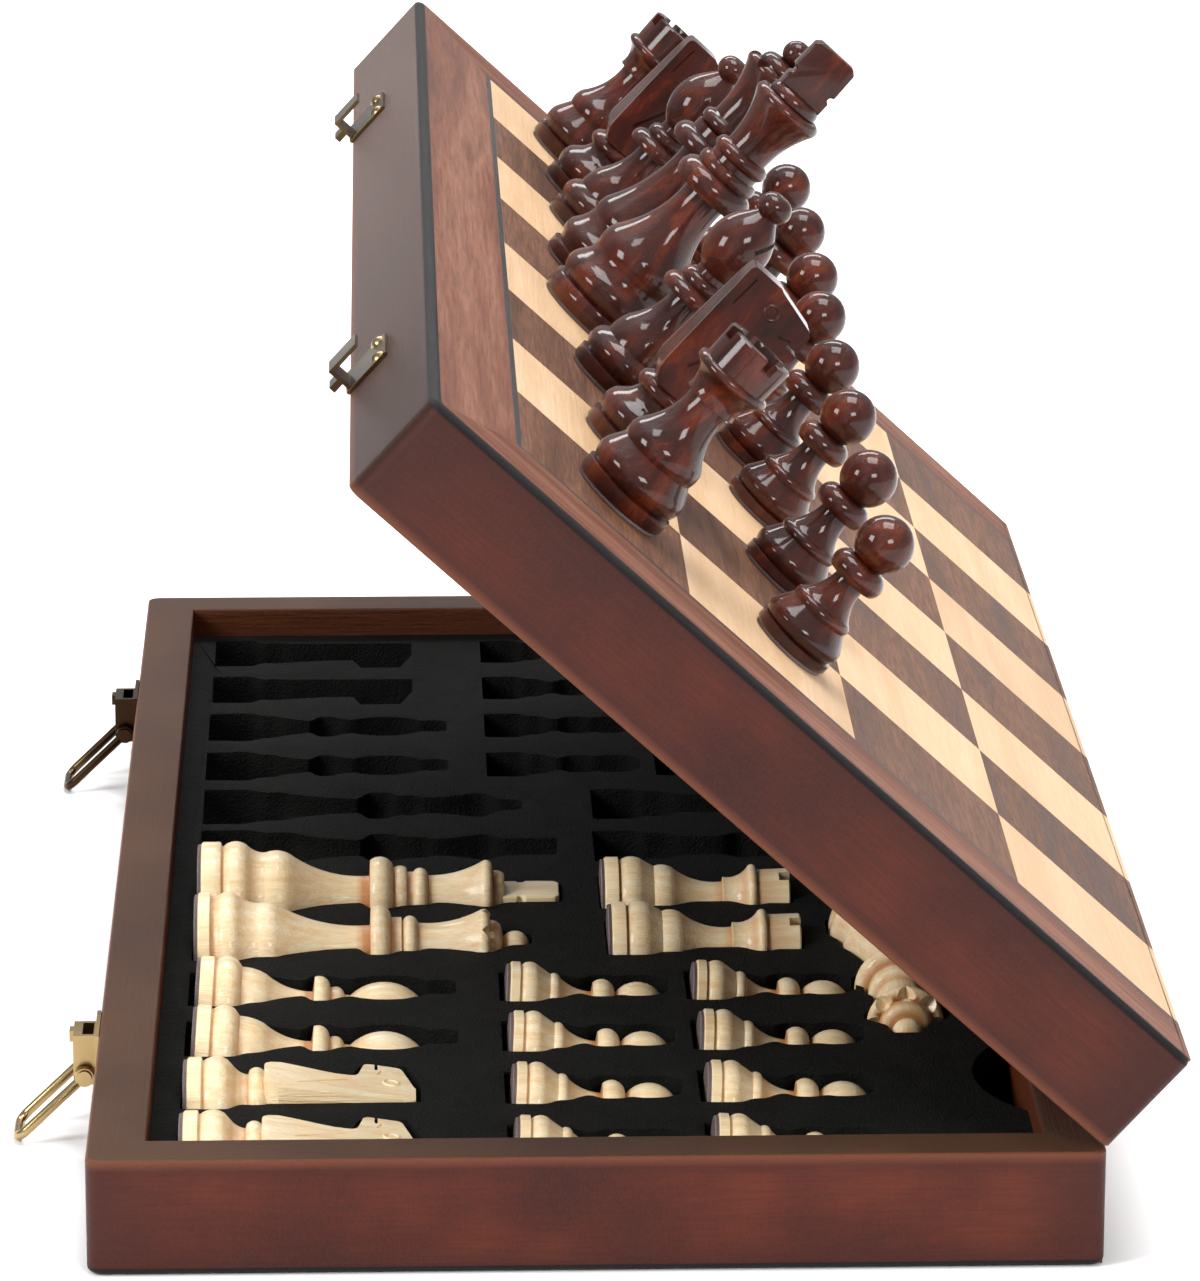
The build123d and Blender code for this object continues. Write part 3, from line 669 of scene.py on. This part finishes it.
def felt_pad(kind):
    points = [(0.0, 0.0), (0.0, FELT_R[kind] - 0.2), (0.2, FELT_R[kind]), (0.8, FELT_R[kind])]
    vertices, faces = [], []
    for s, r in points:
        for k in range(SEGMENTS):
            a = math.tau * k / SEGMENTS
            vertices.append((r * math.cos(a), r * math.sin(a), s))
    for i in range(len(points) - 1):
        low, high = i * SEGMENTS, (i + 1) * SEGMENTS
        faces += [(low + k, low + (k + 1) % SEGMENTS, high + (k + 1) % SEGMENTS, high + k)
                  for k in range(SEGMENTS)]
    faces.append(tuple(range(3 * SEGMENTS, 4 * SEGMENTS)))
    return tidy(mesh_object("felt", vertices, faces, "felt"))


# ------------------------------------------------------------------ pieces in place
def pose_of(node, axis, facing):
    """The matrix that stands a piece's local frame on the CAD node's base."""
    mesh = nodes[node].data
    points = np.empty(len(mesh.vertices) * 3)
    mesh.vertices.foreach_get("co", points)
    points = points.reshape(-1, 3)
    axis = np.array(axis, dtype=float)
    along = points @ axis
    base = points[along < along.min() + 1e-5]
    centre = (base.min(0) + base.max(0)) / 2
    centre = centre + axis * (along.min() - centre @ axis)
    side = np.cross(axis, facing)
    spin = Matrix([[facing[i], side[i], axis[i], 0] for i in range(3)] + [[0, 0, 0, 1]])
    return Matrix.Translation(centre) @ spin @ TRAY


DROOP = {"bishop": 4.0, "pawn": 4.0}  # degrees that a stored piece's head dips


def piece_pose(name):
    """Where a piece is: standing on the lid, lying in its pocket, or a spare queen."""
    colour, kind = name.split("_")[:2]
    a, droop = math.radians(LID_ANGLE), math.radians(DROOP.get(kind, 0))
    if "spare" in name:
        return pose_of(name, (0, -1 if colour == "light" else 1, 0), (1, 0, 0))
    if colour == "light":
        return pose_of(name, (math.cos(droop), 0, -math.sin(droop)), (0, 1, 0))
    return pose_of(name, (math.sin(a), 0, math.cos(a)), (math.cos(a), 0, -math.sin(a)))


def place_pieces():
    """Every chess piece, from one body and one pad mesh for each kind and colour."""
    sources = {}
    for colour in ("light", "dark"):
        for kind, make in BODY_MAKERS.items():
            body = seal_normals(make(f"{colour}_wood"))
            sources[colour, kind] = body.data
            bpy.data.objects.remove(body)
    for kind in BODY_MAKERS:
        pad = felt_pad(kind)
        sources["felt", kind] = pad.data
        bpy.data.objects.remove(pad)
    names = sorted(n for n in nodes if n.startswith(("light_", "dark_")))
    for index, name in enumerate(names):
        colour, kind = name.split("_")[:2]
        add_piece(name, colour, kind, piece_pose(name), sources, index)


def add_piece(name, colour, kind, pose, sources, index):
    """The wooden body with its own grain, and its felt pad, riding on the CAD body."""
    mesh = sources[colour, kind].copy()
    spot = [((index * 37) % 101) * 1.7, ((index * 53) % 97) * 1.3, ((index * 29) % 89) * 2.1]
    add_vector(mesh, "seed", [spot] * len(mesh.vertices))
    for part, data in (("wood", mesh), ("felt", sources["felt", kind])):
        obj = bpy.data.objects.new(f"{name}.{part}", data)
        bpy.context.scene.collection.objects.link(obj)
        obj.matrix_world = pose
        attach(obj, f"{name}_body")
        if part == "wood":
            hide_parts(name)


# ------------------------------------------------------------------ the box
def ring_corners(inset, radius, count=8):
    """A rounded rectangle about the half, `inset` inside its outer faces."""
    x0, x1 = -HALF_X + inset, X_HINGE - inset
    y0, y1 = -HALF_Y + inset, HALF_Y - inset
    radius = max(radius, 0.01)
    points = []
    for cx, cy, start in ((x1, y1, 0), (x0, y1, 90), (x0, y0, 180), (x1, y0, 270)):
        sx = -1 if cx == x1 else 1
        sy = -1 if cy == y1 else 1
        for i in range(count + 1):
            angle = math.radians(start + 90 * i / count)
            points.append((cx + sx * radius + radius * math.cos(angle),
                           cy + sy * radius + radius * math.sin(angle)))
    return points


def frame_section(top):
    """The rails' closed section as (inset, height, corner radius), from the board's ledge
    round the outside and over the rim to the inside."""
    points = [(3.0, VENEER, 0.2), (2.0, VENEER, 1.0), (2.0, 0.0, 1.0), (ARRIS, 0.0, 1.4)]
    for i in range(1, 7):
        angle = math.radians(15 * i)
        points.append((ARRIS * (1 - math.sin(angle)), ARRIS * (1 - math.cos(angle)),
                       2.5 - 0.9 * (1 - i / 6)))
    points += [(0.0, z, 2.5) for z in (3.2, 8.0, 14.0, top - 2.2)]
    turns = [math.radians(18 * i) for i in range(6)]
    points += [(0.5 * (1 - math.cos(a)), top - 0.5 + 0.5 * math.sin(a), 2.3) for a in turns]
    points += [(1.8, top, 1.4), (WALL - 1.6, top, 0.3)]
    points += [(WALL - 0.5 + 0.5 * math.sin(a), top - 0.5 * (1 - math.cos(a)), 0.15)
               for a in turns]
    return points + [(WALL, top - 2.0, 0.1), (WALL, 2.2, 0.1), (WALL, VENEER, 0.1)]


def mark_frame(mesh, section, count, top, is_lid):
    """Where the rim, the inner faces, the lighter outer edge and the stained edge are."""
    marks = {
        "rim": [z > top - 0.2 and 0.3 < inset < WALL - 0.3 for inset, z, _ in section],
        "inner": [inset > WALL - 0.2 for inset, _, _ in section],
        "edge": [inset < 0.35 and z > top - 0.9 for inset, z, _ in section],
        "stain": [z < 1.5 for _, z, _ in section],
        "lid": [is_lid] * len(section),
    }
    for name, flags in marks.items():
        add_float(mesh, name, [float(flag) for flag in flags for _ in range(count)])


def hinge_room(obj, matrix):
    """Recesses for the hinge leaves and knuckles."""
    for y in HINGE_YS:
        room = (HALF_X - 8.6, HALF_X + 3), (y - 16.6, y + 16.6), (HALF_H - 1.0, HALF_H + 3)
        cut(obj, mesh_object("leaf_room", *box_mesh(*room), "box_wood", matrix, False))
        knuckle = rod_mesh(2.35, (HALF_X, y - 16.7, HALF_H), (HALF_X, y + 16.7, HALF_H))
        cut(obj, tidy(mesh_object("knuckle_room", *knuckle, "box_wood", matrix)))


def half_frame(side, matrix, body):
    """The four rails as one mitred frame with worked edges, as the lower half."""
    top = HALF_H - RELIEF
    section = frame_section(top)
    vertices, faces = [], []
    loops = [ring_corners(inset, radius) for inset, _, radius in section]
    count = len(loops[0])
    for loop, (_, z, _) in zip(loops, section):
        vertices += [(x, y, z) for x, y in loop]
    for i in range(len(section)):
        low, high = i * count, (i + 1) % len(section) * count
        faces += [(low + k, low + (k + 1) % count, high + (k + 1) % count, high + k)
                  for k in range(count)]
    obj = mesh_object(f"{side}_frame", vertices, faces, "box_wood", matrix)
    mark_frame(obj.data, section, count, top, side == "lid")
    outward(obj)
    hinge_room(obj, matrix)
    seal_normals(obj, 50.0)
    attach(obj, body)
    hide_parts(f"{side}_long_rails", f"{side}_short_rails")


def leaf_mesh(outline, seed, tone, turn, store):
    """One flat veneer leaf with a tiny eased edge, added to a growing store."""
    count = len(outline)
    cx = sum(x for x, _ in outline) / count
    cy = sum(y for _, y in outline) / count
    base = len(store["vertices"])
    ease = 0.06
    for z, shrink in ((VENEER, 0.0), (ease, 0.0), (0.0, ease)):
        for x, y in outline:
            dx, dy = math.copysign(shrink, x - cx), math.copysign(shrink, y - cy)
            store["vertices"].append((x - dx, y - dy, z))
    for level in (0, 1):
        low, high = base + level * count, base + (level + 1) * count
        for k in range(count):
            j = (k + 1) % count
            store["faces"].append((low + k, low + j, high + j, high + k))
    store["faces"].append(tuple(base + k for k in range(count)))
    store["faces"].append(tuple(base + 2 * count + k for k in reversed(range(count))))
    store["seed"] += [seed] * (3 * count)
    store["tone"] += [tone] * (3 * count)
    store["turn"] += [turn] * (3 * count)


def leaves_object(name, outlines, material, matrix, body, seed, slot, *replaced):
    """Several veneer leaves as one piece, each with its own grain. Each outline comes with
    1.0 for grain along X or 0.0 for grain along Y."""
    store = {"vertices": [], "faces": [], "seed": [], "tone": [], "turn": []}
    rng = np.random.default_rng(seed)
    for outline, turn in outlines:
        spot = [float(v) for v in rng.uniform(0, 900, 3)]
        leaf_mesh(outline, spot, float(rng.uniform(0, 1)), turn, store)
    obj = mesh_object(name, store["vertices"], store["faces"], material, matrix, smooth=False)
    add_vector(obj.data, "seed", store["seed"])
    add_float(obj.data, "tone", store["tone"])
    add_float(obj.data, "turn", store["turn"])
    outward(obj)
    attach(obj, body)
    if replaced:
        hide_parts(*replaced)
    return obj


def rectangle(x0, x1, y0, y1):
    return [(x0, y0), (x1, y0), (x1, y1), (x0, y1)]


def board_face(side, matrix, body, light):
    """Squares, border strips and inlay lines of one half."""
    edge = X_HINGE - 0.25
    squares = {"light": [], "dark": []}
    for column in range(COLUMNS):
        for row in range(ROWS):
            x, y = X_SQUARES + column * SQUARE, -Y_SQUARES + row * SQUARE
            x1 = min(x + SQUARE, edge)
            shade = "light" if (column + row) % 2 == light else "dark"
            squares[shade].append((rectangle(x + 0.02, x1, y + 0.02, y + SQUARE - 0.02), 0.0))
    leaves_object(f"{side}_light_leaves", squares["light"], "maple", matrix, body, 11 + light,
                  "maple", f"{side}_light_squares")
    leaves_object(f"{side}_dark_leaves", squares["dark"], "walnut", matrix, body, 23 + light,
                  "walnut", f"{side}_dark_squares")
    ox, oy = -HALF_X + 1.95, HALF_Y - 1.95
    ix, iy = X_SQUARES - INLAY, Y_SQUARES + INLAY
    strips = [
        ([(ox, -oy), (ix, -iy), (ix, iy), (ox, oy)], 0.0),
        ([(ox, -oy), (edge, -oy), (edge, -iy), (ix, -iy)], 1.0),
        ([(ox, oy), (ix, iy), (edge, iy), (edge, oy)], 1.0),
    ]
    leaves_object(f"{side}_border_leaves", strips, "border_walnut", matrix, body, 37 + light,
                  "walnut", f"{side}_border")
    lines = [
        (rectangle(ix, X_SQUARES, -iy, iy), 0.0),
        (rectangle(X_SQUARES, edge, -iy, -Y_SQUARES), 1.0),
        (rectangle(X_SQUARES, edge, Y_SQUARES, iy), 1.0),
    ]
    leaves_object(f"{side}_inlay", lines, "inlay", matrix, body, 41, "walnut")


# ------------------------------------------------------------------ foam insert
CLEAR = 0.7                  # round the piece
BEHIND, DIP_BEHIND = 0.4, 1.3  # behind its felt, and behind one whose head dips


def pocket_radii(kind):
    """The pocket's radius along the piece, a little larger and softer than the piece."""
    points = [(s, r) for s, r in profile_points(PROFILES[kind]) if r > 0.02]
    if kind == "rook":
        points = [(s, r) for s, r in points if r > 5.45]
    if kind == "king":
        points += [(64.6, 5.2), (76.0, 5.0)]
    stations = np.array([s for s, _ in points])
    radii = np.array([r for _, r in points])
    order = np.argsort(stations)
    stations, radii = stations[order], radii[order]
    length = stations[-1]
    behind = DIP_BEHIND if kind in DROOP else BEHIND
    grid = np.linspace(-behind, length + 0.6, max(24, int(length / 0.8)))
    raw = np.array([radii[np.abs(stations - s) < 1.3].max(initial=0) for s in grid])
    filled = np.interp(grid, stations, radii)
    raw = np.maximum(raw, filled)
    smooth = np.convolve(np.pad(raw, 1, mode="edge"), [0.25, 0.5, 0.25], mode="valid")
    return list(zip(grid, np.maximum(smooth, 1.2) + CLEAR))


def pocket_cutter(kind, matrix):
    """A cutter: round below the axis, straight walls above it, run along local Z with
    local Y up."""
    rows = pocket_radii(kind)
    if kind == "knight":
        rows = [(s, r) for s, r in rows if s < 17]
    high, fine = 12.0, 14
    vertices, faces = [], []
    for s, r in rows:
        ring = [(r * math.cos(math.pi + math.pi * j / fine),
                 r * math.sin(math.pi + math.pi * j / fine)) for j in range(fine + 1)]
        ring = [(-r, high)] + ring + [(r, high)]
        vertices += [(x, y, s) for x, y in ring]
    count = fine + 3
    for i in range(len(rows) - 1):
        low, top = i * count, (i + 1) * count
        faces += [(low + k, low + (k + 1) % count, top + (k + 1) % count, top + k)
                  for k in range(count)]
    faces.append(tuple(range(count)))
    faces.append(tuple(range((len(rows) - 1) * count, len(rows) * count)))
    return tidy(mesh_object("pocket", vertices, faces, "foam", matrix, smooth=False))


def knight_pocket(matrix, turn):
    """Flat-floored pocket for a knight's head lying on its cheek."""
    outline = [(-7.9, 15), (-7.6, 46.0), (2.4, 46.0), (12.4, 43.2), (12.6, 34.0), (6.4, 32.2),
               (6.4, 26), (8.2, 15)]
    outline = [(turn * x, z) for x, z in outline]
    return prism("head_room", outline, -12.0, 7.2, "foam", matrix @ UPRIGHT)


def pocket_places():
    """(kind, matrix, mirrored) for every pocket: each stored piece and its far-half twin."""
    found = []
    for name in sorted(nodes):
        kind = name.split("_")[1]
        if "queen_spare" in name:
            found.append((kind, piece_pose(name), 1))
        elif name.startswith("light_"):
            pose = piece_pose(name)
            twin = pose.copy()
            twin.translation.y = -pose.translation.y
            found += [(kind, pose, 1), (kind, twin, -1)]
    return found


def foam_insert():
    """The foam sheet with moulded pockets and a finger notch in each half."""
    x0, x1 = -HALF_X + WALL + 0.1, X_HINGE - WALL - 0.1
    y0, y1 = -HALF_Y + WALL + 0.1, HALF_Y - WALL - 0.1
    obj = mesh_object("foam_sheet", *box_mesh((x0, x1), (y0, y1), (FOAM_LOW, FOAM_TOP)), "foam",
                      TRAY, False)
    for kind, pose, turn in pocket_places():
        cut(obj, pocket_cutter(kind, pose))
        if kind == "knight":
            cut(obj, knight_pocket(pose, turn))
    for flip in (-1, 1):
        low, high = (104.25, flip * (61 - HALF_Y), 6.2), (104.25, flip * (61 - HALF_Y), 20)
        cut(obj, tidy(mesh_object("notch", *rod_mesh(29.0, low, high, 96), "foam", TRAY, False)))
    modify(obj, "BEVEL", width=0.35, segments=2, limit_method="ANGLE", angle_limit=1.0)
    seal_normals(obj, 45.0)
    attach(obj, "tray")
    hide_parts("foam_insert")


def rod_mesh(radius, start, end, count=32):
    """A cylinder between two points as (vertices, faces)."""
    a, b = Vector(start), Vector(end)
    axis = (b - a).normalized()
    u = axis.orthogonal().normalized()
    v = axis.cross(u)
    vertices = []
    for p in (a, b):
        for k in range(count):
            t = math.tau * k / count
            vertices.append(p + (u * math.cos(t) + v * math.sin(t)) * radius)
    faces = [(k, (k + 1) % count, count + (k + 1) % count, count + k) for k in range(count)]
    faces += [tuple(range(count))[::-1], tuple(range(count, 2 * count))]
    return vertices, faces


# ------------------------------------------------------------------ carried-over CAD nodes
def repaint():
    """Materials on the CAD nodes that keep their own shape."""
    kept = {"tray_panel": "ply", "lid_panel": "ply", "tray_steel_sheet": "steel",
            "lid_steel_sheet": "steel", "lid_lining": "lining", "tray_screws": "screw_brass",
            "lid_screws": "screw_brass", "hinge_pins": "screw_brass",
            "tray_hinge_leaves": "latch_brass", "lid_hinge_leaves": "latch_brass",
            "latch_bodies": "latch_brass", "latch_keepers": "latch_brass",
            "latch_loop_near": "latch_brass", "latch_loop_far": "latch_brass"}
    for name, material in kept.items():
        for slot in nodes[name].material_slots:
            slot.material = MATERIALS[material]
        if material == "latch_brass":
            ease_edges(nodes[name])


def ease_edges(node):
    """Small rounded edges on a metal node, so that they catch the light."""
    weld = node.modifiers.new("weld", "WELD")
    weld.merge_threshold = 1e-6
    bevel = node.modifiers.new("bevel", "BEVEL")
    bevel.width = 0.00016
    bevel.segments = 2
    bevel.limit_method = "ANGLE"
    bevel.angle_limit = math.radians(40)
    bevel.harden_normals = True


# ------------------------------------------------------------------ studio
def area_light(name, place, target, size, power, colour=(1, 1, 1)):
    data = bpy.data.lights.new(name, "AREA")
    data.shape = "RECTANGLE"
    data.size, data.size_y = size
    data.energy = power
    data.color = colour
    obj = bpy.data.objects.new(name, data)
    obj.location = place
    obj.rotation_mode = "QUATERNION"
    obj.rotation_quaternion = (Vector(target) - Vector(place)).to_track_quat("-Z", "Y")
    bpy.context.scene.collection.objects.link(obj)


def studio():
    """White floor and world with soft boxes above, at the left, in front and behind."""
    n = Nodes("floor")
    shade = n.noise(n.coords(), 2.0, 2.0)
    material = n.finish(n.ramp(shade, [(0.0, (252, 252, 252)), (1.0, (255, 255, 255))]), 0.9)
    mesh = bpy.data.meshes.new("floor")
    mesh.from_pydata([(-8, -8, 0), (8, -8, 0), (8, 8, 0), (-8, 8, 0)], [], [(0, 1, 2, 3)])
    mesh.materials.append(material)
    floor = bpy.data.objects.new("floor", mesh)
    floor.location = (0, 0, -0.0002)
    bpy.context.scene.collection.objects.link(floor)
    world = bpy.data.worlds.new("world")
    bpy.context.scene.world = world
    world.use_nodes = True
    background = world.node_tree.nodes["Background"]
    background.inputs["Color"].default_value = (1, 1, 1, 1)
    background.inputs["Strength"].default_value = 0.42
    area_light("top", (0.3, 0.0, 1.4), (0, 0, 0.05), (0.7, 0.7), 18)
    area_light("left", (-1.2, -0.7, 0.9), (0, 0, 0.05), (0.5, 0.6), 18)
    area_light("front", (0.6, -1.6, 0.9), (0, 0, 0.08), (0.6, 0.4), 15)
    area_light("back", (0.0, 1.5, 1.5), (0, 1.0, 0), (1.6, 0.5), 26)
    bpy.context.scene.view_settings.view_transform = "Standard"


def camera():
    """The main view: a long lens, low and in front, looking along the box."""
    data = bpy.data.cameras.new("camera")
    data.sensor_width = 36.0
    data.lens = 188.965
    data.clip_start, data.clip_end = 0.1, 20
    obj = bpy.data.objects.new("camera", data)
    bpy.context.scene.collection.objects.link(obj)
    obj.location = (-0.0393, -1.3625, 0.466)
    yaw, pitch, roll = (math.radians(v) for v in (1.93, 16.31, 0.15))
    spin = (Matrix.Rotation(-yaw, 4, "Z") @ Matrix.Rotation(math.radians(90) - pitch, 4, "X")
            @ Matrix.Rotation(roll, 4, "Z"))
    obj.rotation_euler = spin.to_euler()
    bpy.context.scene.camera = obj


# ------------------------------------------------------------------ build
half_frame("tray", TRAY, "tray")
half_frame("lid", LID, "lid")
board_face("tray", TRAY, "tray", 0)
board_face("lid", LID, "lid", 1)
foam_insert()
place_pieces()
repaint()
studio()
camera()
